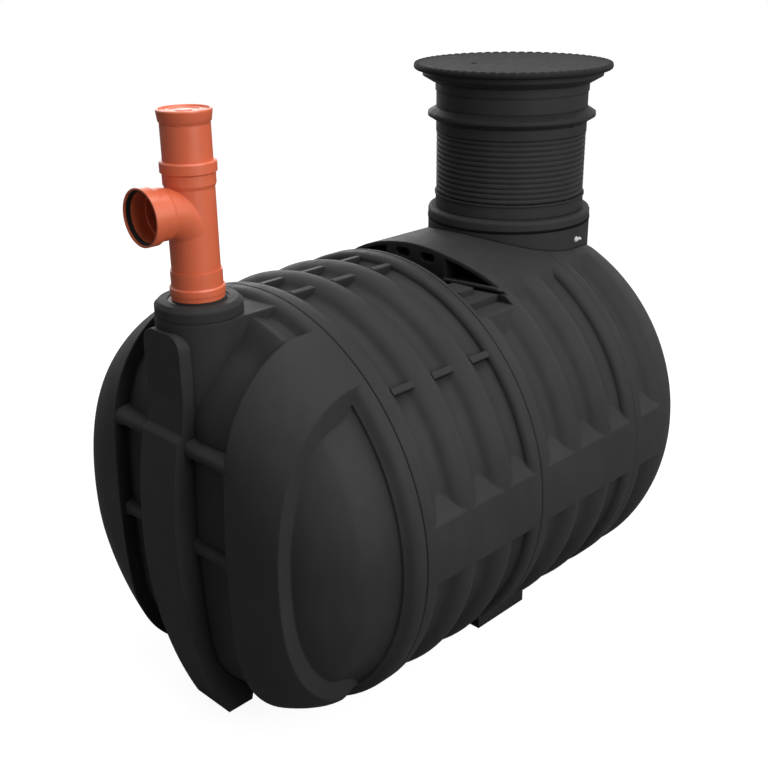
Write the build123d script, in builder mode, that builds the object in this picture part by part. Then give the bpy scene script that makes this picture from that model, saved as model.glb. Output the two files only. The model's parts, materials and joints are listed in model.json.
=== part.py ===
"""Packaged sewage treatment plant: a ribbed horizontal tank with an access shaft and an inlet tee."""

import os
from math import atan, cos, hypot, radians, sin, sqrt

from build123d import *

os.makedirs("parts", exist_ok=True)

# Frame, in millimetres: the tank lies along X, with +X from the inlet end to the access shaft,
# and z = 0 is the ground under the middle of the tank. Levels are counted from the tank's axis.

# Barrel
crest_radius = 795
tank_wall = 10
groove_depth = 45
groove_half_width = 38
crest_half_width = 62
front_seam = -670
rear_seam = -55
rear_joint = 561
seam_drop = 4
middle_grooves = (-543, -346, -149)
rear_grooves = (69, 266, 463)
end_groove = 660
cut_margin = 50

# Where the grooves run out, as angles above the level of the axis, and the turn that each takes
band_top = 10
band_top_run = 6
band_bottom = -5.5
band_bottom_run = -4
top_edge = 62
top_run = -6
top_start = 168
filled_edge = 53
filled_run = -5

# Tabs that bridge the middle grooves
tab_angles = (44, 84)
tab_thickness = 26
tab_length = 100
tab_drop = 12

# Dished ends
half_barrel = 705
end_depth = 423
knuckle_radius = 400
lobe_inner = 309
channel_depth = 57
channel_start = 50
channel_turn = 36

# Crease beside the front seam, and the pockets in the sides of the front end
ring_edge = 22
crease_offset = 40
crease_drop = 38
crease_turn = 20
shoulder_top = 66
shoulder_run = 3
pocket_depth = 50
pocket_crease_drop = 46
pocket_turn = 30
pocket_ledge = 530

# Spines and webs on the ends
spine_half_width = 97
spine_top_drop = 50
spine_corner = 55
spine_top_length = 300
spine_top_setback = 43
spine_panel_height = 225
spine_step_setback = 28
spine_step_height = 110
spine_step_proud = 22
spine_belly_proud = 35
spine_belly_drop = 20
spine_foot_setback = 131
spine_foot_rise = 37
spine_foot_length = 110
web_levels = (380, 18)
web_thickness = 45
web_setback = 16
web_length = 160
rear_spine_gap = 2

# Deck on top of the front end, with the inlet boss
inlet_setback = 206
deck_drop = 20
deck_radius = 148
deck_depth = 340
boss_radius = 146
boss_height = 49
boss_edge = 14
inlet_hole_radius = 100

# Drain pipes
pipe_radius = 80
pipe_wall = 4
socket_radius = 85
bead_radius = 91
bead_height = 20
stub_depth = 85
socket_rise = 1
socket_length = 97
socket_stop_rise = 55
branch_rise = 199
branch_bend = 117
branch_lean = 20
branch_play = 1
branch_reach = 194
branch_straight = 10
shoulder_rise = 68
top_socket_length = 85
riser_length = 112
cap_height = 46
cap_radius = 89
cap_dish = 14
seal_radius = 87
seal_setback = 6
seal_width = 14
seal_drop = 4
fit_gap = 0.3

# Lifting pocket behind the rear seam
lift_front = -38
lift_rear = 122
lift_rear_side = 168
lift_inner = 157
lift_outer = 441
lift_floor = 668
cavity_sill = 684
cavity_depth = 130
cavity_roof = 16
shelf_inner = 400
shelf_outer = 475
shelf_rear = 150
shelf_floor = 640
sill_bar = 16
sill_bar_height = 10
pad_front = 10
pad_rear = 95
pad_inner = 225
pad_outer = 330
pad_top = 690
eye_offset = 66
eye_length = 74
eye_height = 34
eye_level = 752
eye_depth = 40

# Access shaft
neck_radius = 340
neck_rise = 16
gasket_height = 4
gasket_inset = 6
collar_height = 42
collar_edge = 12
shaft_radius = 309
shaft_wall = 8
sleeve_height = 60
sleeve_lip = 4
corrugation_height = 250
corrugation_count = 12
corrugation_depth = 7
upper_sleeve_height = 43
flange_height = 55
flange_radius = 343
flange_nose = 14
ring_height = 103
ring_shoulder = 62
frame_height = 44
frame_radius = 366
lid_radius = 402
lid_thickness = 28
lid_rim = 24
lid_recess = 3
scallop_count = 66
scallop_radius = 14
scallop_depth = 5

# Feet under the rear section
foot_front = 95
foot_rear = 394
foot_inner = 250
foot_outer = 391

# Derived from the sizes above
axis_level = crest_radius
axis_line = Axis((0, 0, axis_level), (1, 0, 0))
side_plane = Plane((0, 0, axis_level), x_dir=(1, 0, 0), z_dir=(0, -1, 0))
tall = 2 * crest_radius + cut_margin
end_tip = half_barrel + end_depth
groove_turn = 2 * atan(groove_depth / (groove_half_width + crest_half_width))
crest_drop = crest_half_width * groove_depth / (groove_half_width + crest_half_width)
knuckle_level = crest_radius - knuckle_radius
crown_radius = (end_depth**2 + knuckle_level**2 - knuckle_radius**2) / (
    2 * (end_depth - knuckle_radius)
)
channel_edge = half_barrel + channel_start
crease_edge = -front_seam + ring_edge
crease_x = half_barrel + crease_offset
inlet_x = -(end_tip - inlet_setback)
deck_top = crest_radius - deck_drop
boss_top = deck_top + boss_height
socket_foot = boss_top + socket_rise
socket_top = socket_foot + socket_length
socket_stop = socket_foot + socket_stop_rise
branch_level = socket_top + branch_rise
tee_shoulder = branch_level + shoulder_rise
tee_top = tee_shoulder + top_socket_length
riser_top = tee_top + riser_length
cap_top = riser_top + cap_height
shaft_x = half_barrel
shaft_bore = shaft_radius - shaft_wall
neck_top = crest_radius + neck_rise
gasket_top = neck_top + gasket_height
collar_top = gasket_top + collar_height
sleeve_top = collar_top + sleeve_height
corrugation_top = sleeve_top + corrugation_height
upper_sleeve_top = corrugation_top + upper_sleeve_height
flange_top = upper_sleeve_top + flange_height
frame_bottom = flange_top + ring_height
frame_top = frame_bottom + frame_height
lid_top = frame_top + lid_thickness


def largest(piece):
    """The largest solid of a piece."""
    return piece.solids().sort_by(SortBy.VOLUME)[-1]


def seam_level(x, crest):
    """Level of the crest at a section's edge, lowered where a seam shows."""
    return crest - seam_drop if abs(x) in (-front_seam, -rear_seam) else crest


def groove_edges(centre, inset):
    """The two places where a groove's hollow arc meets the rounded crests beside it."""
    reach = groove_half_width + inset * sin(groove_turn)
    level = crest_radius - crest_drop - inset * cos(groove_turn)
    return (centre - reach, level), (centre + reach, level)


def barrel_form(start, end, grooves, inset):
    """Solid ribbed barrel between two planes, with its surface moved inwards by inset."""
    crest = crest_radius - inset
    first = (start + seam_drop, crest)
    with BuildPart() as body:
        with BuildSketch(side_plane):
            with BuildLine():
                Polyline(
                    first,
                    (start, seam_level(start, crest)),
                    (start, 0),
                    (end, 0),
                    (end, seam_level(end, crest)),
                    (end - seam_drop, crest),
                )
                last = first
                for centre in grooves:
                    left, right = groove_edges(centre, inset)
                    if centre == grooves[0]:
                        top = (left[0] - crest_half_width, crest)
                        Line(last, top)
                        TangentArc(top, left, tangent=(1, 0))
                    else:
                        ThreePointArc(last, ((last[0] + left[0]) / 2, crest), left)
                    ThreePointArc(left, (centre, crest - groove_depth), right)
                    last = right
                if grooves:
                    top = ((last[0] + end) / 2, crest)
                    TangentArc(top, last, tangent=(-1, 0))
                    last = top
                Line(last, (end - seam_drop, crest))
            make_face()
        revolve(axis=axis_line)
    return body.part


def end_form(start, inset, depth=0, groove=None, edge=None, crease=(), turn=0):
    """Solid dished end from the plane at start to its crown, towards +X.

    The dish lies deeper than the crest by depth. A groove, or a crease or ramp from the edge of the
    ring on, joins the two.
    """
    crest = crest_radius - inset
    total = inset + depth
    crown_centre = end_tip - crown_radius
    span = hypot(half_barrel - crown_centre, knuckle_level)
    share = (crown_radius - total) / span
    meeting = (crown_centre + (half_barrel - crown_centre) * share, knuckle_level * share)
    middle = (
        crown_centre + sqrt((crown_radius - total) ** 2 - (meeting[1] / 2) ** 2),
        meeting[1] / 2,
    )
    tip = (end_tip - total, 0)
    lean = radians(turn)
    heading = (cos(lean), -sin(lean))
    shoulder = (
        half_barrel + (knuckle_radius - total) * sin(lean),
        knuckle_level + (knuckle_radius - total) * cos(lean),
    )
    first = (start + seam_drop, crest)
    with BuildPart() as body:
        with BuildSketch(side_plane):
            with BuildLine():
                Polyline(tip, (start, 0), (start, seam_level(start, crest)), first)
                ThreePointArc(tip, middle, meeting)
                if groove is not None:
                    left, right = groove_edges(groove, inset)
                    top = ((start + left[0]) / 2, crest)
                    Line(first, top)
                    TangentArc(top, left, tangent=(1, 0))
                    ThreePointArc(left, (groove, crest - groove_depth), right)
                    TangentArc(shoulder, right, tangent=(-heading[0], -heading[1]))
                elif edge is not None:
                    Line(first, (edge, crest))
                    Spline((edge, crest), *crease, shoulder, tangents=((1, 0), heading))
                else:
                    Line(first, shoulder)
                TangentArc(shoulder, meeting, tangent=heading)
            make_face()
        revolve(axis=axis_line)
    return body.part


def run_out(angle, run):
    """Ends of the line down which a groove runs out, from outside the crest to under its floor."""
    floor_radius = crest_radius - groove_depth
    upper = (crest_radius * cos(radians(angle)), crest_radius * sin(radians(angle)))
    lower = (
        floor_radius * cos(radians(angle + run)),
        floor_radius * sin(radians(angle + run)),
    )
    outer = (2 * upper[0] - lower[0], 2 * upper[1] - lower[1])
    inner = (3 * lower[0] - 2 * upper[0], 3 * lower[1] - 2 * upper[1])
    return outer, inner


def band_prism(start, end, inset):
    """Prisms over both sides of the tank that hold the smooth side bands."""
    high_outer, high_inner = run_out(band_top, band_top_run)
    low_outer, low_inner = run_out(band_bottom, band_bottom_run)
    corners = [low_outer, high_outer, high_inner, low_inner]
    with BuildPart() as prism:
        with BuildSketch(Plane.YZ.offset(start)):
            with Locations((0, axis_level)):
                Polygon(*corners, align=None)
                Polygon(*[(-y, z) for y, z in reversed(corners)], align=None)
            if inset:
                offset(amount=-inset, kind=Kind.INTERSECTION)
        extrude(amount=end - start)
    return prism.part


def top_prism(start, end, angle, run, inset):
    """Prism over the top of the tank where the grooves are filled."""
    outer, inner = run_out(angle, run)
    with BuildPart() as prism:
        with BuildSketch(Plane.YZ.offset(start)):
            with Locations((0, axis_level)):
                Polygon(
                    outer,
                    (0, tall),
                    (-outer[0], outer[1]),
                    (-inner[0], inner[1]),
                    inner,
                    align=None,
                )
            if inset:
                offset(amount=-inset, kind=Kind.INTERSECTION)
        extrude(amount=end - start)
    return prism.part


def shoulder_prism(inset):
    """Prism over both shoulders of the front end, between crease and pocket, where no crease runs."""
    outer, inner = run_out(shoulder_top, shoulder_run)
    corners = [
        inner,
        (pocket_ledge, crest_radius / 2),
        (pocket_ledge, crest_radius),
        outer,
    ]
    with BuildPart() as prism:
        with BuildSketch(Plane.YZ.offset(-front_seam)):
            with Locations((0, axis_level)):
                Polygon(*corners, align=None)
                Polygon(*[(-y, z) for y, z in reversed(corners)], align=None)
            if inset:
                offset(amount=-inset, kind=Kind.INTERSECTION)
        extrude(amount=half_barrel)
    return prism.part


def tab_set():
    """Tabs that bridge the middle grooves, a little below the crests."""
    middle_radius = crest_radius - groove_depth / 2
    with BuildPart() as tabs:
        for centre in middle_grooves:
            for angle in tab_angles:
                for lift in (angle, 180 - angle):
                    y = middle_radius * cos(radians(lift))
                    z = middle_radius * sin(radians(lift))
                    with Locations(Location((centre, y, axis_level + z), (lift, 0, 0))):
                        Box(tab_length, groove_depth + 2 * tank_wall, tab_thickness)
        add(barrel_form(front_seam, rear_seam, (), tab_drop), mode=Mode.INTERSECT)
    return tabs.part


def channel_floor(inset):
    """Form of an end at the floor of its channels, which rises to the crest in a ramp."""
    return end_form(half_barrel, inset, channel_depth, edge=channel_edge, turn=channel_turn)


def channel_cut(inset):
    """The upright channels beside an end's spine, down to their floor."""
    with BuildPart() as block:
        with BuildSketch(Plane.YZ.offset(channel_edge + cut_margin / 3)):
            with Locations((0, axis_level)):
                Rectangle(2 * (lobe_inner + inset), tall)
        extrude(amount=end_depth)
    return block.part - channel_floor(inset)


def pocket_cut(inset):
    """The D-shaped pockets in both sides of the front end, down to their bulging panels."""
    start = crease_x - inset
    inner = pocket_ledge - inset
    with BuildPart() as block:
        for side in (-1, 1):
            with Locations((start, side * (inner + tall / 2), axis_level)):
                Box(tall, tall, 2 * tall, align=(Align.MIN, Align.CENTER, Align.CENTER))
    crease = [(crease_x, crest_radius - inset - pocket_crease_drop)]
    panel = end_form(
        -front_seam, inset, pocket_depth, edge=crease_edge, crease=crease, turn=pocket_turn
    )
    return block.part - panel


def deck_form(inset):
    """Deck that carries the inlet boss, with a round nose."""
    half_width = deck_radius - inset
    length = -inlet_x + front_seam
    with BuildPart() as deck:
        with BuildSketch(Plane.XY.offset(axis_level + deck_top - inset)):
            with Locations((-inlet_x, 0)):
                Circle(half_width)
                Rectangle(length, 2 * half_width, align=(Align.MAX, Align.CENTER))
        extrude(amount=-(deck_depth - 2 * inset))
    return deck.part


def lift_cut(inset):
    """The lifting pocket behind the rear seam, with its side cavities, shelves and eyes."""
    with BuildPart() as cut:
        with BuildSketch(Plane.XY.offset(axis_level + lift_floor - inset)):
            Polygon(
                (lift_front - inset, -lift_outer - inset),
                (lift_rear_side + inset, -lift_outer - inset),
                (lift_rear + inset, -lift_inner),
                (lift_rear + inset, lift_inner),
                (lift_rear_side + inset, lift_outer + inset),
                (lift_front - inset, lift_outer + inset),
                align=None,
            )
        extrude(amount=crest_radius - lift_floor + cut_margin)
        with BuildSketch(Plane.XY.offset(axis_level + shelf_floor - inset)):
            for side in (-1, 1):
                with Locations(
                    (
                        (lift_front + shelf_rear) / 2,
                        side * (shelf_inner + shelf_outer) / 2,
                    )
                ):
                    Rectangle(
                        shelf_rear - lift_front + 2 * inset,
                        shelf_outer - shelf_inner + 2 * inset,
                    )
        extrude(amount=crest_radius - shelf_floor)
        with BuildSketch(Plane.YZ.offset(lift_rear - inset)):
            with Locations((-eye_offset, axis_level + eye_level), (eye_offset, axis_level + eye_level)):
                SlotOverall(eye_length + 2 * inset, eye_height + 2 * inset)
        extrude(amount=eye_depth + 2 * inset)
    with BuildPart() as cavity:
        for side in (-1, 1):
            with Locations(
                (
                    lift_rear - sill_bar,
                    side * (lift_inner + lift_outer) / 2,
                    axis_level + cavity_sill - inset,
                )
            ):
                Box(
                    cavity_depth + inset,
                    lift_outer - lift_inner + 2 * inset,
                    crest_radius,
                    align=(Align.MIN, Align.CENTER, Align.MIN),
                )
    roof = barrel_form(rear_seam, rear_joint, (), cavity_roof - inset)
    return cut.part + (cavity.part & roof)


def lift_ribs():
    """Pads on the floor of the lifting pocket and bars along the sills of its cavities."""
    with BuildPart() as ribs:
        with BuildSketch(Plane.XY.offset(axis_level + lift_floor - tank_wall / 2)):
            for side in (-1, 1):
                with Locations(((pad_front + pad_rear) / 2, side * (pad_inner + pad_outer) / 2)):
                    RectangleRounded(pad_rear - pad_front, pad_outer - pad_inner, tank_wall)
        extrude(amount=pad_top - lift_floor + tank_wall / 2)
        with BuildSketch(Plane.XY.offset(axis_level + cavity_sill - sill_bar_height / 2)):
            for side in (-1, 1):
                Polygon(
                    (lift_rear - sill_bar, side * lift_inner),
                    (lift_rear + sill_bar_height, side * lift_inner),
                    (lift_rear_side + sill_bar_height, side * lift_outer),
                    (lift_rear_side - sill_bar, side * lift_outer),
                    align=None,
                )
        extrude(amount=sill_bar_height)
        add(barrel_form(rear_seam, rear_joint, (), 0), mode=Mode.INTERSECT)
    return ribs.part


def pipe_hole(x, radius, low, high):
    """Upright cylinder used to cut an opening, between two levels."""
    with BuildPart() as hole:
        with BuildSketch(Plane.XY.offset(axis_level + low)):
            with Locations((x, 0)):
                Circle(radius)
        extrude(amount=high - low)
    return hole.part


def spine_form(inset):
    """Outline of an end's upright spine, from its top corners down to its foot."""
    top = crest_radius - spine_top_drop - inset
    top_reach = end_tip - spine_top_setback - inset
    panel_foot = top - spine_panel_height
    step = panel_foot - spine_step_height
    step_reach = end_tip - spine_step_setback - inset
    foot = (end_tip - spine_foot_setback - inset, -crest_radius + spine_foot_rise + inset)
    with BuildPart() as spine:
        with BuildSketch(side_plane):
            with BuildLine():
                Polyline(
                    foot,
                    (foot[0] - spine_foot_length, foot[1]),
                    (half_barrel, 0),
                    (top_reach - spine_top_length, top),
                    (top_reach, top),
                    (top_reach, panel_foot),
                    (step_reach, step),
                    (step_reach + spine_step_proud, step - spine_step_proud),
                )
                ThreePointArc(
                    (step_reach + spine_step_proud, step - spine_step_proud),
                    (end_tip + spine_belly_proud - inset, -spine_belly_drop),
                    foot,
                )
            make_face()
        extrude(amount=spine_half_width - inset, both=True)
        with BuildSketch(Plane.YZ.offset(half_barrel - cut_margin)):
            with Locations((0, axis_level + top)):
                RectangleRounded(
                    2 * (spine_half_width - inset),
                    2 * tall,
                    spine_corner - inset,
                    align=(Align.CENTER, Align.MAX),
                )
        extrude(amount=2 * end_depth, mode=Mode.INTERSECT)
    return spine.part


def spine_shell():
    """Spine as a moulded channel that stands on the floor of the end."""
    return largest(spine_form(0) - spine_form(tank_wall) - channel_floor(0))


def web_set():
    """Short webs that bridge the channels between the spine and the lobes."""
    with BuildPart() as webs:
        for level in web_levels:
            drop = hypot(level, lobe_inner) - knuckle_level
            reach = half_barrel + sqrt(knuckle_radius**2 - drop**2) - web_setback
            with BuildSketch(side_plane.offset(spine_half_width)):
                with Locations((reach - web_length / 2, level)):
                    SlotOverall(web_length, web_thickness)
            extrude(amount=lobe_inner - spine_half_width)
        mirror(about=Plane.XZ)
        add(channel_floor(0), mode=Mode.SUBTRACT)
    return webs.part


def turned(x, outline):
    """Solid turned about the upright line at x, from an outline of radius and level points."""
    with BuildPart() as body:
        with BuildSketch(Plane((x, 0, axis_level), x_dir=(1, 0, 0), z_dir=(0, -1, 0))):
            with BuildLine():
                Polyline(*outline, close=True)
            make_face()
        revolve(axis=Axis((x, 0, 0), (0, 0, 1)))
    return body.part


def tube(x, inner, outer, low, high):
    """Plain upright tube."""
    return turned(x, [(inner, low), (outer, low), (outer, high), (inner, high)])


# Openings through the tank wall
shaft_opening = pipe_hole(shaft_x, neck_radius - tank_wall, 0, crest_radius + cut_margin)
inlet_opening = pipe_hole(-inlet_x, inlet_hole_radius, 0, crest_radius + cut_margin)

# Middle section
middle_forms = []
for inset in (0, tank_wall):
    bands = barrel_form(front_seam, rear_seam, (), inset) & band_prism(front_seam, rear_seam, inset)
    middle_forms.append(barrel_form(front_seam, rear_seam, middle_grooves, inset) + bands)
with BuildPart() as middle_section:
    add(middle_forms[0])
    add(tab_set())
    add(middle_forms[1], mode=Mode.SUBTRACT)

# Rear section
rear_forms = []
for inset in (0, tank_wall):
    smooth = barrel_form(rear_seam, rear_joint, (), inset)
    form = barrel_form(rear_seam, rear_joint, rear_grooves, inset)
    form = form + (smooth & band_prism(rear_seam, rear_joint, inset))
    form = form + (smooth & top_prism(rear_seam, top_start, filled_edge, filled_run, inset))
    form = form + (smooth & top_prism(top_start - cut_margin, rear_joint, top_edge, top_run, inset))
    rear_forms.append(largest(form - lift_cut(inset)))
with BuildPart() as rear_blank:
    add(rear_forms[0])
    add(lift_ribs())
    add(rear_forms[1], mode=Mode.SUBTRACT)
    add(shaft_opening, mode=Mode.SUBTRACT)

with BuildPart() as rear_section:
    add(largest(rear_blank.part))

# Rear end
end_forms = []
for inset in (0, tank_wall):
    smooth = end_form(rear_joint, inset)
    form = end_form(rear_joint, inset, groove=end_groove, turn=10)
    form = form + (smooth & band_prism(rear_joint, end_tip, inset))
    form = form + (smooth & top_prism(rear_joint, end_tip, top_edge, top_run, inset))
    end_forms.append(form - channel_cut(inset))
with BuildPart() as rear_end:
    add(end_forms[0])
    add(end_forms[1], mode=Mode.SUBTRACT)
    add(shaft_opening, mode=Mode.SUBTRACT)

with BuildPart() as rear_spine:
    add(spine_shell())
    add(
        pipe_hole(shaft_x, neck_radius + rear_spine_gap, 0, crest_radius + cut_margin),
        mode=Mode.SUBTRACT,
    )

with BuildPart() as rear_webs:
    add(web_set())

# Front end, made towards +X and turned over
front_forms = []
for inset in (0, tank_wall):
    crease = [(crease_x, crest_radius - inset - crease_drop)]
    form = end_form(-front_seam, inset, edge=crease_edge, crease=crease, turn=crease_turn)
    form = form + (end_form(-front_seam, inset) & shoulder_prism(inset))
    front_forms.append(form - channel_cut(inset) - pocket_cut(inset) + deck_form(inset))
with BuildPart() as front_end:
    add(mirror(front_forms[0] - front_forms[1] - inlet_opening, about=Plane.YZ))

with BuildPart() as front_spine:
    add(mirror(largest(spine_shell() - deck_form(0)), about=Plane.YZ))

with BuildPart() as front_webs:
    add(mirror(web_set() - deck_form(0), about=Plane.YZ))

# Feet under the rear section
barrel = barrel_form(rear_seam, rear_joint, rear_grooves, 0)
feet = []
for side in (-1, 1):
    with BuildPart() as blank:
        with BuildSketch(Plane.XY):
            with Locations(((foot_front + foot_rear) / 2, side * (foot_inner + foot_outer) / 2)):
                Rectangle(foot_rear - foot_front, foot_outer - foot_inner)
        extrude(amount=axis_level / 2)
        add(barrel, mode=Mode.SUBTRACT)
    feet.append(blank.part.solids().sort_by(Axis.Z)[0])

with BuildPart() as right_foot:
    add(feet[0])

with BuildPart() as left_foot:
    add(feet[1])

# Inlet boss, its seal and the stub through it
with BuildPart() as inlet_boss:
    add(
        turned(
            inlet_x,
            [
                (inlet_hole_radius, deck_top),
                (boss_radius, deck_top),
                (boss_radius, boss_top - boss_edge),
                (boss_radius - boss_edge, boss_top),
                (inlet_hole_radius, boss_top),
            ],
        )
    )

with BuildPart() as inlet_seal:
    add(tube(inlet_x, pipe_radius + fit_gap, inlet_hole_radius, deck_top, boss_top - seal_drop))

with BuildPart() as inlet_stub:
    add(tube(inlet_x, pipe_radius - pipe_wall, pipe_radius, deck_top - stub_depth, socket_stop))

# Lower socket over the stub and the tee
with BuildPart() as lower_socket:
    add(
        turned(
            inlet_x,
            [
                (pipe_radius + fit_gap, socket_foot),
                (bead_radius - 3, socket_foot),
                (bead_radius - 3, socket_foot + bead_height),
                (bead_radius, socket_foot + bead_height),
                (bead_radius, socket_foot + 2 * bead_height),
                (socket_radius, socket_foot + 2 * bead_height + 5),
                (socket_radius, socket_top),
                (pipe_radius + fit_gap, socket_top),
            ],
        )
    )

mouth = inlet_x - branch_reach
branch_line = Axis((inlet_x, 0, axis_level + branch_level), (1, 0, 0))
branch_plane = Plane((inlet_x, 0, axis_level + branch_level), x_dir=(-1, 0, 0), z_dir=(0, 1, 0))
lean = radians(branch_lean)
bend_reach = branch_bend * cos(lean)
bend_level = branch_level - branch_bend * (1 - sin(lean))
bend_start = Plane(
    (inlet_x, 0, axis_level + bend_level), x_dir=(0, 1, 0), z_dir=(-sin(lean), 0, cos(lean))
)
with BuildLine(side_plane) as bend_path:
    bend = JernArc((inlet_x, bend_level), (-sin(lean), cos(lean)), branch_bend, 90 - branch_lean)
    Line(bend @ 1, bend @ 1 + (-branch_straight, 0))

with BuildPart() as tee:
    add(
        turned(
            inlet_x,
            [
                (0, socket_stop),
                (pipe_radius, socket_stop),
                (pipe_radius, tee_shoulder),
                (socket_radius, tee_shoulder + 12),
                (socket_radius, tee_top - 2 * bead_height),
                (bead_radius, tee_top - 2 * bead_height + 5),
                (bead_radius, tee_top - 5),
                (bead_radius - 5, tee_top),
                (0, tee_top),
            ],
        )
    )
    with BuildSketch(bend_start):
        Circle(pipe_radius - branch_play)
    sweep(path=bend_path.wires()[0])
    with BuildSketch(branch_plane):
        with BuildLine():
            Polyline(
                (bend_reach, 0),
                (bend_reach, pipe_radius + 2),
                (bend_reach + branch_straight, socket_radius),
                (branch_reach - 2 * bead_height, socket_radius),
                (branch_reach - 2 * bead_height + 5, bead_radius + 2),
                (branch_reach, bead_radius + 2),
                (branch_reach, 0),
                close=True,
            )
        make_face()
    revolve(axis=branch_line)
    add(pipe_hole(inlet_x, pipe_radius - pipe_wall, 0, tee_top + 5), mode=Mode.SUBTRACT)
    add(
        pipe_hole(inlet_x, pipe_radius + fit_gap, tee_shoulder + 12, tee_top + 5),
        mode=Mode.SUBTRACT,
    )
    with BuildSketch(bend_start):
        Circle(pipe_radius - pipe_wall - branch_play)
    sweep(path=bend_path.wires()[0], mode=Mode.SUBTRACT)
    with BuildSketch(branch_plane):
        with BuildLine():
            Polyline(
                (bend_reach + branch_straight, 0),
                (bend_reach + branch_straight, pipe_radius + fit_gap),
                (branch_reach - seal_setback - seal_width, pipe_radius + fit_gap),
                (branch_reach - seal_setback - seal_width, seal_radius),
                (branch_reach + 1, seal_radius),
                (branch_reach + 1, 0),
                close=True,
            )
        make_face()
    revolve(axis=branch_line, mode=Mode.SUBTRACT)

with BuildPart() as branch_seal:
    with BuildSketch(Plane.YZ.offset(mouth + seal_setback)):
        with Locations((0, axis_level + branch_level)):
            Circle(seal_radius)
            Circle(pipe_radius + fit_gap, mode=Mode.SUBTRACT)
    extrude(amount=seal_width)

# Riser and its cap
with BuildPart() as riser_pipe:
    add(tube(inlet_x, pipe_radius - pipe_wall, pipe_radius, tee_shoulder + 12, riser_top))

with BuildPart() as end_cap:
    add(
        turned(
            inlet_x,
            [
                (0, riser_top),
                (cap_radius, riser_top),
                (cap_radius, cap_top),
                (cap_radius - 8, cap_top),
                (cap_radius - 14, cap_top - cap_dish),
                (0, cap_top - cap_dish),
            ],
        )
    )

# Neck of the access shaft, standing on the tank
with BuildPart() as neck_blank:
    add(tube(shaft_x, neck_radius - tank_wall, neck_radius, 0, neck_top))
    add(rear_forms[0], mode=Mode.SUBTRACT)
    add(end_forms[0], mode=Mode.SUBTRACT)

with BuildPart() as neck:
    add(neck_blank.part.solids().sort_by(Axis.Z)[-1])

with BuildPart() as neck_gasket:
    add(tube(shaft_x, neck_radius - tank_wall, neck_radius - gasket_inset, neck_top, gasket_top))

# Shaft from the neck up to the lid
with BuildPart() as shaft_collar:
    add(
        turned(
            shaft_x,
            [
                (shaft_bore, gasket_top),
                (neck_radius, gasket_top),
                (neck_radius, collar_top - collar_edge),
                (neck_radius - collar_edge / 3, collar_top - collar_edge / 3),
                (neck_radius - collar_edge, collar_top),
                (shaft_bore, collar_top),
            ],
        )
    )

with BuildPart() as lower_sleeve:
    add(
        turned(
            shaft_x,
            [
                (shaft_bore, collar_top),
                (shaft_radius, collar_top),
                (shaft_radius, sleeve_top - 2 * sleeve_lip),
                (shaft_radius + sleeve_lip, sleeve_top - 2 * sleeve_lip),
                (shaft_radius + sleeve_lip, sleeve_top),
                (shaft_bore, sleeve_top),
            ],
        )
    )

pitch = corrugation_height / corrugation_count
outline = [(shaft_bore - corrugation_depth, sleeve_top)]
for step in range(corrugation_count):
    level = sleeve_top + step * pitch
    outline.append((shaft_radius - corrugation_depth, level))
    outline.append((shaft_radius - 2, level + pitch / 4))
    outline.append((shaft_radius - 2, level + 3 * pitch / 4))
outline.append((shaft_radius - corrugation_depth, corrugation_top))
outline.append((shaft_bore - corrugation_depth, corrugation_top))
with BuildPart() as corrugated_shaft:
    add(turned(shaft_x, outline))

with BuildPart() as upper_sleeve:
    add(tube(shaft_x, shaft_bore, shaft_radius, corrugation_top, upper_sleeve_top))

flange_middle = (upper_sleeve_top + flange_top) / 2
with BuildPart() as flange_ring:
    add(
        turned(
            shaft_x,
            [
                (shaft_bore, upper_sleeve_top),
                (shaft_radius, upper_sleeve_top),
                (flange_radius, flange_middle - flange_nose / 2),
                (flange_radius, flange_middle + flange_nose / 2),
                (shaft_radius, flange_top),
                (shaft_bore, flange_top),
            ],
        )
    )

with BuildPart() as top_ring:
    add(
        turned(
            shaft_x,
            [
                (shaft_bore, flange_top),
                (shaft_radius, flange_top),
                (shaft_radius, flange_top + ring_shoulder),
                (shaft_radius + sleeve_lip, flange_top + ring_shoulder + sleeve_lip),
                (shaft_radius + sleeve_lip, frame_bottom),
                (shaft_bore, frame_bottom),
            ],
        )
    )

with BuildPart() as lid_frame:
    add(
        turned(
            shaft_x,
            [
                (shaft_bore, frame_bottom),
                (frame_radius - frame_height + 6, frame_bottom),
                (frame_radius, frame_bottom + frame_height / 2),
                (frame_radius, frame_top),
                (shaft_bore, frame_top),
            ],
        )
    )

with BuildPart() as lid:
    with BuildSketch(Plane.XY.offset(axis_level + frame_top)):
        with Locations((shaft_x, 0)):
            Circle(lid_radius)
            with PolarLocations(lid_radius + scallop_radius - scallop_depth, scallop_count):
                Circle(scallop_radius, mode=Mode.SUBTRACT)
    extrude(amount=lid_thickness)
    add(
        pipe_hole(shaft_x, lid_radius - lid_rim, lid_top - lid_recess, lid_top + cut_margin),
        mode=Mode.SUBTRACT,
    )

pieces = {
    "front_end": front_end,
    "front_spine": front_spine,
    "front_webs": front_webs,
    "middle_section": middle_section,
    "rear_section": rear_section,
    "rear_end": rear_end,
    "rear_spine": rear_spine,
    "rear_webs": rear_webs,
    "left_foot": left_foot,
    "right_foot": right_foot,
    "inlet_boss": inlet_boss,
    "inlet_seal": inlet_seal,
    "inlet_stub": inlet_stub,
    "lower_socket": lower_socket,
    "tee": tee,
    "branch_seal": branch_seal,
    "riser_pipe": riser_pipe,
    "end_cap": end_cap,
    "neck": neck,
    "neck_gasket": neck_gasket,
    "shaft_collar": shaft_collar,
    "lower_sleeve": lower_sleeve,
    "corrugated_shaft": corrugated_shaft,
    "upper_sleeve": upper_sleeve,
    "flange_ring": flange_ring,
    "top_ring": top_ring,
    "lid_frame": lid_frame,
    "lid": lid,
}
for name, piece in pieces.items():
    piece.part.label = name
    export_step(piece.part, f"parts/{name}.step")
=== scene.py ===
"""Looks for the packaged sewage treatment plant: materials, small details, light and camera."""

import json
from math import copysign, cos, pi, radians, sin

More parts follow.
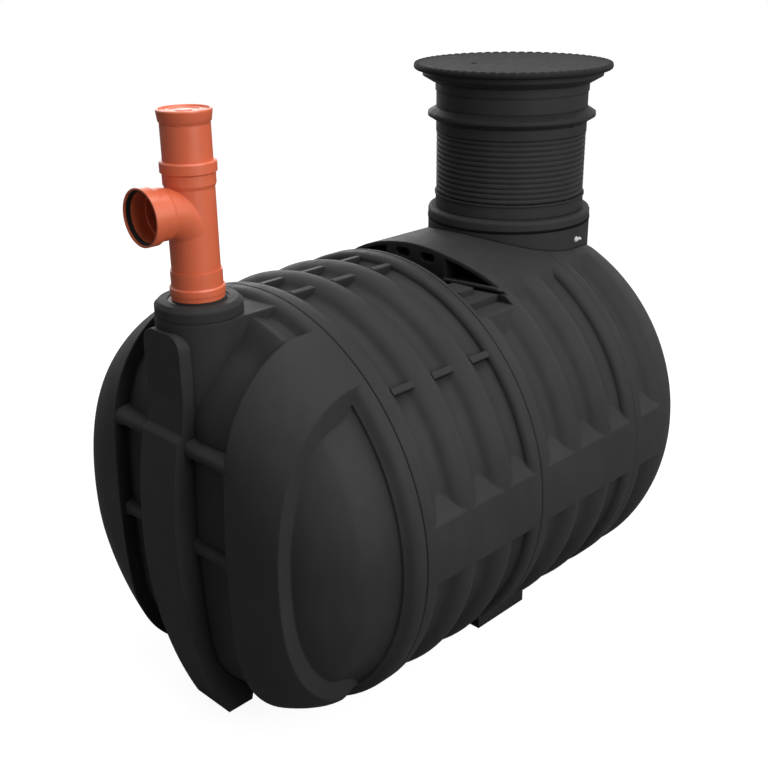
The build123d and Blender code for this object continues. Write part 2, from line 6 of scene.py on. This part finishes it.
import bmesh
import bpy
from mathutils import Matrix, Vector


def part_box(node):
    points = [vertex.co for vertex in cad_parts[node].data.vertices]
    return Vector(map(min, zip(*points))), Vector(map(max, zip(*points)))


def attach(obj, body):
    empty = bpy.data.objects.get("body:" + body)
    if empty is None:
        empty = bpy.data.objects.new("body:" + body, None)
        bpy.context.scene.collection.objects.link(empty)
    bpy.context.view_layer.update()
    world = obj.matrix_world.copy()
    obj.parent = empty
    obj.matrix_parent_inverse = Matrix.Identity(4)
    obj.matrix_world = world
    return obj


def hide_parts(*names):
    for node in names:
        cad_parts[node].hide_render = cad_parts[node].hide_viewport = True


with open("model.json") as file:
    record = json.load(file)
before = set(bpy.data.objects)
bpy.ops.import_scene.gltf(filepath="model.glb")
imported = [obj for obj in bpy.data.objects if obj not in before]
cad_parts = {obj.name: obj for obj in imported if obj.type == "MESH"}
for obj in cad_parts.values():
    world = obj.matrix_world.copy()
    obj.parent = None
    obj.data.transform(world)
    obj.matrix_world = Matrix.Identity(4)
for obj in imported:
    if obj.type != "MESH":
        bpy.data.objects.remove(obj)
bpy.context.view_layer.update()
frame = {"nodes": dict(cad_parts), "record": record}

# Lengths are in metres, and every place is in the model's own frame

# Camera, solved from the photograph, with its angles in radians and its lens in millimetres
CAMERA_PLACE = (-2.9543, -2.8585, 2.7130)
CAMERA_YAW = -0.7917
CAMERA_PITCH = 0.3878
CAMERA_ROLL = -0.0117
LENS = 51.55
SENSOR_WIDTH = 36.0
SIGHT = 100.0

# Light: lamps as name, place, target, side of the square and watts
LAMPS = (
    ("key", (-0.2, -5.6, 3.8), (0.0, 0.0, 0.9), 5.0, 285),
    ("fill", (-5.0, -0.5, 3.0), (0.0, 0.0, 0.9), 3.0, 6),
    ("top", (0.3, -0.6, 8.0), (0.1, 0.0, 1.0), 5.0, 350),
    ("back", (3.0, 5.6, 3.4), (0.0, 0.0, 1.0), 4.0, 130),
)
SKY_STRENGTH = 0.2
FLOOR_REACH = 30.0
FLOOR_GLOW = 0.92

# Tones, each as the darkest and the lightest colour of a surface
TANK_TONES = ((0.028, 0.028, 0.0284), (0.040, 0.040, 0.0405))
LID_TONES = ((0.020, 0.020, 0.0203), (0.029, 0.029, 0.0294))
# Near-black plastic, also used as painted shade in the seam notches and the neck joint
DARK_PLASTIC_AND_PAINTED_SHADE_TONES = ((0.003, 0.003, 0.003), (0.007, 0.007, 0.007))
PIPE_TONES = ((0.60, 0.120, 0.051), (0.71, 0.145, 0.062))
BLACK_RUBBER_TONES = ((0.006, 0.006, 0.006), (0.016, 0.016, 0.016))
# Pale rubber of the plugs and the seal; on the seal, the crescent left bare by the lip is a painted
# reflection
PALE_RUBBER_AND_PAINTED_GLINT_TONES = ((0.58, 0.59, 0.60), (0.72, 0.73, 0.74))
FLOOR_TONES = ((0.20, 0.20, 0.20), (0.22, 0.22, 0.22))

# Painted shade: plastic deep in hollows is painted darker, where shade falls
PAINTED_SHADE_TONE = (0.006, 0.006, 0.006)
PAINTED_SHADE_REACH = 0.25

# Lid: raised knobs around a flat top
KNOB_COUNT = 66
KNOB_STEPS = 8
KNOB_RISE = 0.0044
KNOB_DENT = 0.0016
LID_SINK = 0.005
LOCK_SPOT = (0.5727, 0.0943)

# Webs between the spines and the lobes, with their levels above the tank's axis
WEB_LEVELS = (0.352, -0.012)
WEB_HEIGHT = 0.056
WEB_DEPTH = 0.150
WEB_FLARE = 0.012
WEB_PROUD = 0.017
WEB_FILL = 0.96
SPINE_TUCK = 0.006
LOBE_TUCK = 0.003
WEB_SHARES = (0.0, 0.04, 0.1, 0.2, 0.35, 0.5, 0.65, 0.8, 0.9, 0.96, 1.0)
WEB_TURNS = 28

# Plugs and screws on the shaft, as angles in degrees about its axis, heights and radii
PLUG_SPOTS = ((-86.7, 1.551, 0.0085), (-82.4, 1.549, 0.0055))
PLUG_PROUD = 0.008
PLUG_SIDES = 24
SCREW_SPOTS = ((-92.4, 2.0045, 0.0032), (-90.2, 2.0110, 0.0032))
SCREW_PROUD = 0.003
SCREW_SIDES = 6

# Rubber lip at the pipe's foot: how far it stays inside the seal, and how far it is pushed aside, so
# that a crescent of pale seal is left bare on one side as a painted reflection and the lip covers
# the rest as painted shade
LIP_MARGIN_FOR_PAINTED_GLINT = 0.0080
LIP_SHIFT_FOR_PAINTED_GLINT = (0.0006, -0.0077)


# Materials


def blank_material(name):
    """A material with only a shader and an output."""
    material = bpy.data.materials.new(name)
    material.use_nodes = True
    tree = material.node_tree
    tree.nodes.clear()
    shader = tree.nodes.new("ShaderNodeBsdfPrincipled")
    output = tree.nodes.new("ShaderNodeOutputMaterial")
    tree.links.new(shader.outputs["BSDF"], output.inputs["Surface"])
    return material, tree, shader


def place(tree, stretch=(1, 1, 1)):
    """Object coordinates in metres, stretched along the axes."""
    coordinates = tree.nodes.new("ShaderNodeTexCoord")
    mapping = tree.nodes.new("ShaderNodeMapping")
    mapping.inputs["Scale"].default_value = stretch
    tree.links.new(coordinates.outputs["Object"], mapping.inputs["Vector"])
    return mapping.outputs["Vector"]


def noise(tree, vector, scale, detail=3.0, roughness=0.55):
    """Noise between 0 and 1."""
    node = tree.nodes.new("ShaderNodeTexNoise")
    node.inputs["Scale"].default_value = scale
    node.inputs["Detail"].default_value = detail
    node.inputs["Roughness"].default_value = roughness
    tree.links.new(vector, node.inputs["Vector"])
    return node.outputs["Fac"]


def spread(tree, value, low, high, start=0.3, end=0.7):
    """A value between start and end turned into one between low and high."""
    node = tree.nodes.new("ShaderNodeMapRange")
    node.inputs["From Min"].default_value = start
    node.inputs["From Max"].default_value = end
    node.inputs["To Min"].default_value = low
    node.inputs["To Max"].default_value = high
    tree.links.new(value, node.inputs["Value"])
    return node.outputs["Result"]


def blended(tree, factor, first, second):
    """Two colours mixed by a factor; each is a colour or a socket."""
    node = tree.nodes.new("ShaderNodeMix")
    node.data_type = "RGBA"
    tree.links.new(factor, node.inputs["Factor"])
    for name, value in (("A", first), ("B", second)):
        socket = [item for item in node.inputs if item.name == name and item.type == "RGBA"][0]
        if isinstance(value, tuple):
            socket.default_value = (*value, 1.0)
        else:
            tree.links.new(value, socket)
    return [item for item in node.outputs if item.type == "RGBA"][0]


def combined(tree, operation, first, second):
    """Two values put together by a mathematical operation."""
    node = tree.nodes.new("ShaderNodeMath")
    node.operation = operation
    tree.links.new(first, node.inputs[0])
    tree.links.new(second, node.inputs[1])
    return node.outputs["Value"]


def bumped(tree, shader, heights, edge_radius):
    """Bump layers of (height, distance, strength), over softened edges."""
    bevel = tree.nodes.new("ShaderNodeBevel")
    bevel.samples = 4
    bevel.inputs["Radius"].default_value = edge_radius
    normal = bevel.outputs["Normal"]
    for height, distance, strength in heights:
        node = tree.nodes.new("ShaderNodeBump")
        node.inputs["Distance"].default_value = distance
        node.inputs["Strength"].default_value = strength
        tree.links.new(height, node.inputs["Height"])
        tree.links.new(normal, node.inputs["Normal"])
        normal = node.outputs["Normal"]
    tree.links.new(normal, shader.inputs["Normal"])


def openness_for_painted_shade(tree):
    """How open a place is, from 0 deep in a hollow to 1 on a free surface, for painting shade into
    hollows.
    """
    node = tree.nodes.new("ShaderNodeAmbientOcclusion")
    node.samples = 8
    node.inputs["Distance"].default_value = PAINTED_SHADE_REACH
    return spread(tree, node.outputs["AO"], 0.0, 1.0, start=0.15, end=0.6)


def moulded(name, tones, rough, edge_radius=0.012, gloss=0.06):
    """Rotationally moulded polyethylene: satin, finely grained and slightly uneven, with painted
    shade in its hollows.
    """
    material, tree, shader = blank_material(name)
    plain = place(tree)
    tall = place(tree, (1.0, 1.0, 0.18))
    cloud = noise(tree, plain, 3.2, 4.0)
    streak = noise(tree, tall, 22.0, 3.0)
    grain = noise(tree, plain, 520.0, 2.0)
    ripple = noise(tree, plain, 7.0, 2.0)
    clouds, streaks = spread(tree, cloud, 0.35, 1.0), spread(tree, streak, 0.55, 1.0)
    colour = blended(tree, combined(tree, "MULTIPLY", clouds, streaks), *tones)
    # Painted shade: the colour goes to a near-black tone in hollows, by ambient occlusion
    tree.links.new(blended(tree, openness_for_painted_shade(tree), PAINTED_SHADE_TONE, colour), shader.inputs["Base Color"])
    tree.links.new(spread(tree, streak, rough - 0.05, rough + 0.07), shader.inputs["Roughness"])
    shader.inputs["Specular IOR Level"].default_value = gloss
    bumped(tree, shader, [(ripple, 0.004, 0.35), (grain, 0.0006, 0.25)], edge_radius)
    return material


def extruded(name, tones, rough):
    """Drain pipe plastic: even colour with faint drawing lines and scuffs."""
    material, tree, shader = blank_material(name)
    plain = place(tree)
    lines = place(tree, (1.0, 1.0, 0.03))
    cloud = noise(tree, plain, 6.0, 3.0)
    draw = noise(tree, lines, 160.0, 2.0)
    grain = noise(tree, plain, 700.0, 2.0)
    clouds, drawn = spread(tree, cloud, 0.5, 1.0), spread(tree, draw, 0.7, 1.0)
    colour = blended(tree, combined(tree, "MULTIPLY", clouds, drawn), *tones)
    tree.links.new(colour, shader.inputs["Base Color"])
    tree.links.new(spread(tree, cloud, rough - 0.04, rough + 0.06), shader.inputs["Roughness"])
    bumped(tree, shader, [(draw, 0.0004, 0.25), (grain, 0.0003, 0.2)], edge_radius=0.002)
    return material


def rubbery(name, tones, rough):
    """Rubber with a fine matt grain and a little bloom."""
    material, tree, shader = blank_material(name)
    plain = place(tree)
    cloud = noise(tree, plain, 14.0, 4.0)
    grain = noise(tree, plain, 900.0, 2.0)
    colour = blended(tree, spread(tree, cloud, 0.0, 1.0), *tones)
    tree.links.new(colour, shader.inputs["Base Color"])
    tree.links.new(spread(tree, cloud, rough - 0.06, rough + 0.06), shader.inputs["Roughness"])
    shader.inputs["Specular IOR Level"].default_value = 0.15
    bumped(tree, shader, [(grain, 0.0005, 0.35)], edge_radius=0.0015)
    return material


tank_plastic = moulded("tank_plastic", TANK_TONES, rough=0.52)
lid_plastic = moulded("lid_plastic", LID_TONES, rough=0.6, edge_radius=0.0015, gloss=0.03)
dark_plastic_and_painted_shade = moulded("dark_plastic_and_painted_shade", DARK_PLASTIC_AND_PAINTED_SHADE_TONES, rough=0.7, edge_radius=0.0005, gloss=0.03)
pipe_plastic = extruded("pipe_plastic", PIPE_TONES, rough=0.34)
black_rubber = rubbery("black_rubber", BLACK_RUBBER_TONES, rough=0.72)
pale_rubber_and_painted_glint = rubbery("pale_rubber_and_painted_glint", PALE_RUBBER_AND_PAINTED_GLINT_TONES, rough=0.62)

finishes = {
    "tank_plastic": tank_plastic,
    "pipe_plastic": pipe_plastic,
    "seal_rubber": black_rubber,
    "inlet_rubber": pale_rubber_and_painted_glint,
}
for row in frame["record"]["subparts"]:
    for slot in frame["nodes"][row["node"]].material_slots:
        slot.material = finishes[row["material_slot"]]

# Pieces added to the model


def middle(node):
    """Centre, lowest and highest corner of a node."""
    low, high = [Vector(corner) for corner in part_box(node)]
    return (low + high) / 2, low, high


def radius_of(node):
    """Outer radius of a round node that stands upright or lies along the tank."""
    centre, low, high = middle(node)
    return high.y - centre.y


def piece(name, points, faces, material):
    """Smooth mesh piece that is fixed to the tank and given a material."""
    mesh = bpy.data.meshes.new(name)
    mesh.from_pydata(points, [], faces)
    shape = bmesh.new()
    shape.from_mesh(mesh)
    bmesh.ops.recalc_face_normals(shape, faces=shape.faces)
    shape.to_mesh(mesh)
    shape.free()
    mesh.polygons.foreach_set("use_smooth", [True] * len(mesh.polygons))
    mesh.materials.append(material)
    item = bpy.data.objects.new(name, mesh)
    bpy.context.scene.collection.objects.link(item)
    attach(item, "root")
    return item


def turned(outline, steps, spot, capped=False):
    """Outline turned about a line; spot gives the point for an angle and an outline point."""
    count = len(outline)
    points = [spot(2 * pi * turn / steps, *corner) for turn in range(steps) for corner in outline]
    faces = []
    for turn in range(steps):
        near, far = turn * count, (turn + 1) % steps * count
        for row in range(count - 1 if capped else count):
            after = (row + 1) % count
            faces.append((near + row, far + row, far + after, near + after))
    if capped:
        faces.append(tuple(turn * count for turn in range(steps)))
        faces.append(tuple(turn * count + count - 1 for turn in range(steps)))
    return points, faces


def upright(centre, level):
    """Gives turned() the points around an upright line, at heights above a level."""

    def spot(angle, reach, rise):
        return (centre.x + reach * cos(angle), centre.y + reach * sin(angle), level + rise)

    return spot


def painted_seam_shade(name, node):
    """Near-black ring in the notch of the seam at a node's +X edge, painted shade where the notch's
    shadow falls.
    """
    barrel = middle("middle_section")[0]
    crest = radius_of("middle_section")
    seam_x = middle(node)[2].x
    outline = [(-0.0025, -0.0022), (0.0025, -0.0022), (0.001, -0.006), (-0.001, -0.006)]

    def spot(angle, along, rise):
        radius = crest + rise
        return (seam_x + along, radius * cos(angle), barrel.z + radius * sin(angle))

    points, faces = turned(outline, 360, spot)
    return piece(name, points, faces, dark_plastic_and_painted_shade)


def lid_cover():
    """Lid with a flat top, raised knobs around its rim and a rounded edge."""
    centre, low, high = middle("lid")
    radius = high.x - centre.x
    depth = high.z - low.z
    outline = [
        (0.004, -LID_SINK, 0.0),
        (radius - 0.030, -LID_SINK, 0.0),
        (radius - 0.022, -LID_SINK, 0.3),
        (radius - 0.016, -LID_SINK + 0.0004, 0.8),
        (radius - 0.009, -LID_SINK + 0.0004, 1.0),
        (radius - 0.004, -LID_SINK - 0.0006, 1.0),
        (radius - 0.001, -LID_SINK - 0.0035, 0.6),
        (radius, -LID_SINK - 0.0070, 0.2),
        (radius, -depth + 0.010, 0.0),
        (radius - 0.002, -depth + 0.006, 0.0),
        (radius - 0.007, -depth + 0.002, 0.0),
        (radius - 0.014, -depth, 0.0),
        (0.004, -depth, 0.0),
    ]

    def spot(angle, reach, rise, share):
        """Share is how much of the knobs' rise and dent a point of the outline takes."""
        knob = abs(cos(KNOB_COUNT * angle / 2)) ** 0.6
        edge = reach - KNOB_DENT * share * (1 - knob)
        lift = rise + KNOB_RISE * share * knob
        return (centre.x + edge * cos(angle), centre.y + edge * sin(angle), high.z + lift)

    points, faces = turned(outline, KNOB_COUNT * KNOB_STEPS, spot, capped=True)
    cover = piece("lid_cover", points, faces, lid_plastic)
    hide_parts("lid")
    return cover


def lid_lock():
    """Small round lock sunk in the lid."""
    outline = [
        (0.0130, -0.0010),
        (0.0125, 0.0010),
        (0.0100, 0.0014),
        (0.0085, 0.0008),
        (0.0075, -0.0008),
        (0.0005, -0.0009),
    ]
    lid_top = middle("lid")[2].z - LID_SINK
    points, faces = turned(outline, 32, upright(Vector(LOCK_SPOT), lid_top), capped=True)
    return piece("lid_lock", points, faces, dark_plastic_and_painted_shade)


def pipe_lip_with_painted_shade_and_glint():
    """Black rubber lip squeezed between the pipe and its seal, wider towards the front: painted
    shade in the gap there, and the crescent of pale seal left bare on the far side is a painted
    reflection.
    """
    seal, low, high = middle("inlet_seal")
    inner = radius_of("inlet_stub") + 0.0006
    outer = radius_of("inlet_seal") - LIP_MARGIN_FOR_PAINTED_GLINT
    outline = [(0, -0.003), (0, 0.0075), (0.5, 0.0085), (0.85, 0.0070), (1, 0.0040), (1, -0.003)]

    def spot(angle, share, rise):
        outward = Vector((cos(angle), sin(angle)))
        # Painted reflection and shade: the lip's push sets where the pale seal shows
        aside = (inner * outward).lerp(outer * outward + Vector(LIP_SHIFT_FOR_PAINTED_GLINT), share)
        return (seal.x + aside.x, seal.y + aside.y, high.z + rise)

    points, faces = turned(outline, 96, spot)
    return piece("pipe_lip_with_painted_shade_and_glint", points, faces, black_rubber)


def cap_cover():
    """Pipe cap that widens upwards, with a rolled rim and moulded rings on its shallow top."""
    centre, low, high = middle("end_cap")
    pipe = radius_of("riser_pipe")
    radius = radius_of("end_cap")
    depth = high.z - low.z
    outline = [
        (0.0005, -depth),
        (pipe - 0.0010, -depth),
        (pipe, -depth + 0.0010),
        (pipe, -0.0395),
        (pipe + 0.0006, -0.0385),
        (pipe + 0.0028, -0.0380),
        (pipe + 0.0036, -0.0370),
        (radius - 0.0010, -0.0060),
        (radius - 0.0008, -0.0040),
        (radius - 0.0016, -0.0014),
        (radius - 0.0034, -0.0002),
        (radius - 0.0064, -0.0002),
        (radius - 0.0086, -0.0020),
        (radius - 0.0096, -0.0052),
        (radius - 0.0110, -0.0060),
        (0.0600, -0.0062),
        (0.0585, -0.0040),
        (0.0550, -0.0034),
        (0.0515, -0.0040),
        (0.0500, -0.0062),
        (0.0270, -0.0064),
        (0.0255, -0.0042),
        (0.0230, -0.0036),
        (0.0005, -0.0036),
    ]
    points, faces = turned(outline, 128, upright(centre, high.z), capped=True)
    cover = piece("cap_cover", points, faces, pipe_plastic)
    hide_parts("end_cap")
    return cover


def gasket_lip_with_painted_shade():
    """Edge of the rubber gasket squeezed out between the neck and the collar above it, made
    near-black so that it also paints the shade in the joint.
    """
    wall = radius_of("neck")
    outline = [
        (wall - 0.0058, -0.0018),
        (wall + 0.0001, -0.0018),
        (wall + 0.0001, -0.0055),
        (wall + 0.0016, -0.0045),
        (wall + 0.0016, 0.0045),
        (wall + 0.0001, 0.0055),
        (wall + 0.0001, 0.0018),
        (wall - 0.0058, 0.0018),
    ]
    points, faces = turned(outline, 240, upright(middle("neck")[0], middle("neck_gasket")[0].z))
    # Near-black: the gasket's own colour together with painted shade in the joint
    return piece("gasket_lip_with_painted_shade", points, faces, dark_plastic_and_painted_shade)


def stud(name, node, spot_on_wall, proud, sides, material):
    """Small headed stud that stands out of an upright round wall."""
    angle, height, radius = spot_on_wall
    centre = middle(node)[0]
    outward = Vector((cos(radians(angle)), sin(radians(angle)), 0))
    across = Vector((-outward.y, outward.x, 0))
    above = Vector((0, 0, 1))
    foot = Vector((centre.x, centre.y, height)) + radius_of(node) * outward
    outline = [
        (radius * 1.35, -0.004),
        (radius * 1.35, 0.0015),
        (radius, 0.0018),
        (radius, proud * 0.8),
        (radius * 0.8, proud),
        (radius * 0.1, proud * 0.97),
    ]

    def spot(turn, reach, rise):
        return tuple(foot + reach * (cos(turn) * across + sin(turn) * above) + rise * outward)

    points, faces = turned(outline, sides, spot, capped=True)
    return piece(name, points, faces, material)


def web_section(share):
    """Rounded section of a web as (along, up) offsets, thicker near its ends at 0 and 1."""
    flare = WEB_FLARE * abs(2 * share - 1) ** 6
    half_depth = WEB_FILL * (WEB_DEPTH + flare) / 2
    half_height = WEB_HEIGHT / 2 + flare
    section = []
    for turn in range(WEB_TURNS):
        along, up = cos(2 * pi * turn / WEB_TURNS), sin(2 * pi * turn / WEB_TURNS)
        along = copysign(abs(along) ** 0.5, along)
        up = copysign(abs(up) ** 0.8, up)
        section.append((half_depth * along, half_height * up))
    return section


def web_bars(name, node, toward):
    """Webs between a spine and the lobes beside it, with their noses toward -X or +X."""
    low, high = middle(node)[1:]
    inner = middle("front_spine")[2].y - SPINE_TUCK
    outer = high.y + LOBE_TUCK
    nose = (low.x if toward < 0 else high.x) + toward * WEB_PROUD
    heart = nose - toward * WEB_DEPTH / 2
    axis_level = middle("middle_section")[0].z
    points, faces = [], []
    for level in WEB_LEVELS:
        for side in (-1, 1):
            first = len(points)
            for share in WEB_SHARES:
                aside = side * (inner + (outer - inner) * share)
                for along, up in web_section(share):
                    points.append((heart + along, aside, axis_level + level + up))
            for start in range(first, len(points) - WEB_TURNS, WEB_TURNS):
                for turn in range(WEB_TURNS):
                    near, far = start + turn, start + (turn + 1) % WEB_TURNS
                    faces.append((near, far, far + WEB_TURNS, near + WEB_TURNS))
            faces.append(tuple(range(first, first + WEB_TURNS)))
            faces.append(tuple(range(len(points) - WEB_TURNS, len(points))))
    bars = piece(name, points, faces, tank_plastic)
    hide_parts(node)
    return bars


# Painted shade: near-black rings in the seam notches
painted_seam_shade("front_painted_seam_shade", "front_end")
painted_seam_shade("rear_painted_seam_shade", "middle_section")
lid_cover()
lid_lock()
pipe_lip_with_painted_shade_and_glint()
cap_cover()
gasket_lip_with_painted_shade()
web_bars("front_web_bars", "front_webs", -1)
web_bars("rear_web_bars", "rear_webs", 1)
for number, spot_on_wall in enumerate(PLUG_SPOTS, 1):
    name = f"neck_plug_{number}"
    stud(name, "neck", spot_on_wall, PLUG_PROUD, PLUG_SIDES, pale_rubber_and_painted_glint)
for number, spot_on_wall in enumerate(SCREW_SPOTS, 1):
    name = f"sleeve_screw_{number}"
    stud(name, "upper_sleeve", spot_on_wall, SCREW_PROUD, SCREW_SIDES, dark_plastic_and_painted_shade)

# Floor, background, light and camera


def floor_material():
    """Pale floor that keeps shadows and looks white to the camera."""
    material, tree, shader = blank_material("floor_pale")
    shader.inputs["Roughness"].default_value = 0.9
    cloud = noise(tree, place(tree), 2.0, 2.0)
    tree.links.new(blended(tree, cloud, *FLOOR_TONES), shader.inputs["Base Color"])
    glow = tree.nodes.new("ShaderNodeEmission")
    glow.inputs["Strength"].default_value = FLOOR_GLOW
    path = tree.nodes.new("ShaderNodeLightPath")
    both = tree.nodes.new("ShaderNodeAddShader")
    choose = tree.nodes.new("ShaderNodeMixShader")
    output = [item for item in tree.nodes if item.type == "OUTPUT_MATERIAL"][0]
    tree.links.new(shader.outputs["BSDF"], both.inputs[0])
    tree.links.new(glow.outputs["Emission"], both.inputs[1])
    tree.links.new(path.outputs["Is Camera Ray"], choose.inputs["Fac"])
    tree.links.new(shader.outputs["BSDF"], choose.inputs[1])
    tree.links.new(both.outputs["Shader"], choose.inputs[2])
    tree.links.new(choose.outputs["Shader"], output.inputs["Surface"])
    return material


def add_floor():
    """Flat floor at the height of the ground."""
    mesh = bpy.data.meshes.new("floor")
    corners = [(-1, -1), (1, -1), (1, 1), (-1, 1)]
    mesh.from_pydata([(FLOOR_REACH * x, FLOOR_REACH * y, 0) for x, y in corners], [], [(0, 1, 2, 3)])
    mesh.materials.append(floor_material())
    floor = bpy.data.objects.new("floor", mesh)
    bpy.context.scene.collection.objects.link(floor)


def add_sky():
    """Soft even light all round, which the camera, gloss and glass see as white."""
    world = bpy.data.worlds.new("studio")
    bpy.context.scene.world = world
    world.use_nodes = True
    tree = world.node_tree
    tree.nodes.clear()
    soft = tree.nodes.new("ShaderNodeBackground")
    soft.inputs["Strength"].default_value = SKY_STRENGTH
    white = tree.nodes.new("ShaderNodeBackground")
    white.inputs["Color"].default_value = (1, 1, 1, 1)
    path = tree.nodes.new("ShaderNodeLightPath").outputs
    seen = combined(tree, "MAXIMUM", path["Is Camera Ray"], path["Is Glossy Ray"])
    seen = combined(tree, "MAXIMUM", seen, path["Is Transmission Ray"])
    choose = tree.nodes.new("ShaderNodeMixShader")
    output = tree.nodes.new("ShaderNodeOutputWorld")
    tree.links.new(seen, choose.inputs["Fac"])
    tree.links.new(soft.outputs["Background"], choose.inputs[1])
    tree.links.new(white.outputs["Background"], choose.inputs[2])
    tree.links.new(choose.outputs["Shader"], output.inputs["Surface"])


def add_lamp(name, spot, target, size, power):
    """Soft square lamp that points at a target."""
    light = bpy.data.lights.new(name, "AREA")
    light.size = size
    light.energy = power
    holder = bpy.data.objects.new(name, light)
    holder.location = spot
    aim = Vector(target) - Vector(spot)
    holder.rotation_euler = aim.to_track_quat("-Z", "Y").to_euler()
    bpy.context.scene.collection.objects.link(holder)


def add_camera():
    """Camera at the photograph's place and angle."""
    yaw, pitch, roll = CAMERA_YAW, CAMERA_PITCH, CAMERA_ROLL
    back = Vector((sin(yaw) * cos(pitch), -cos(yaw) * cos(pitch), sin(pitch)))
    right = Vector((cos(yaw), sin(yaw), 0.0))
    above = back.cross(right)
    rolled_right = cos(roll) * right + sin(roll) * above
    rolled_above = -sin(roll) * right + cos(roll) * above
    lens = bpy.data.cameras.new("camera")
    lens.sensor_width = SENSOR_WIDTH
    lens.lens = LENS
    lens.clip_end = SIGHT
    camera = bpy.data.objects.new("camera", lens)
    axes = Matrix((rolled_right, rolled_above, back)).transposed().to_4x4()
    camera.matrix_world = Matrix.Translation(Vector(CAMERA_PLACE)) @ axes
    bpy.context.scene.collection.objects.link(camera)
    bpy.context.scene.camera = camera
    bpy.context.scene.view_settings.view_transform = "Standard"


add_floor()
add_sky()
for row in LAMPS:
    add_lamp(*row)
add_camera()
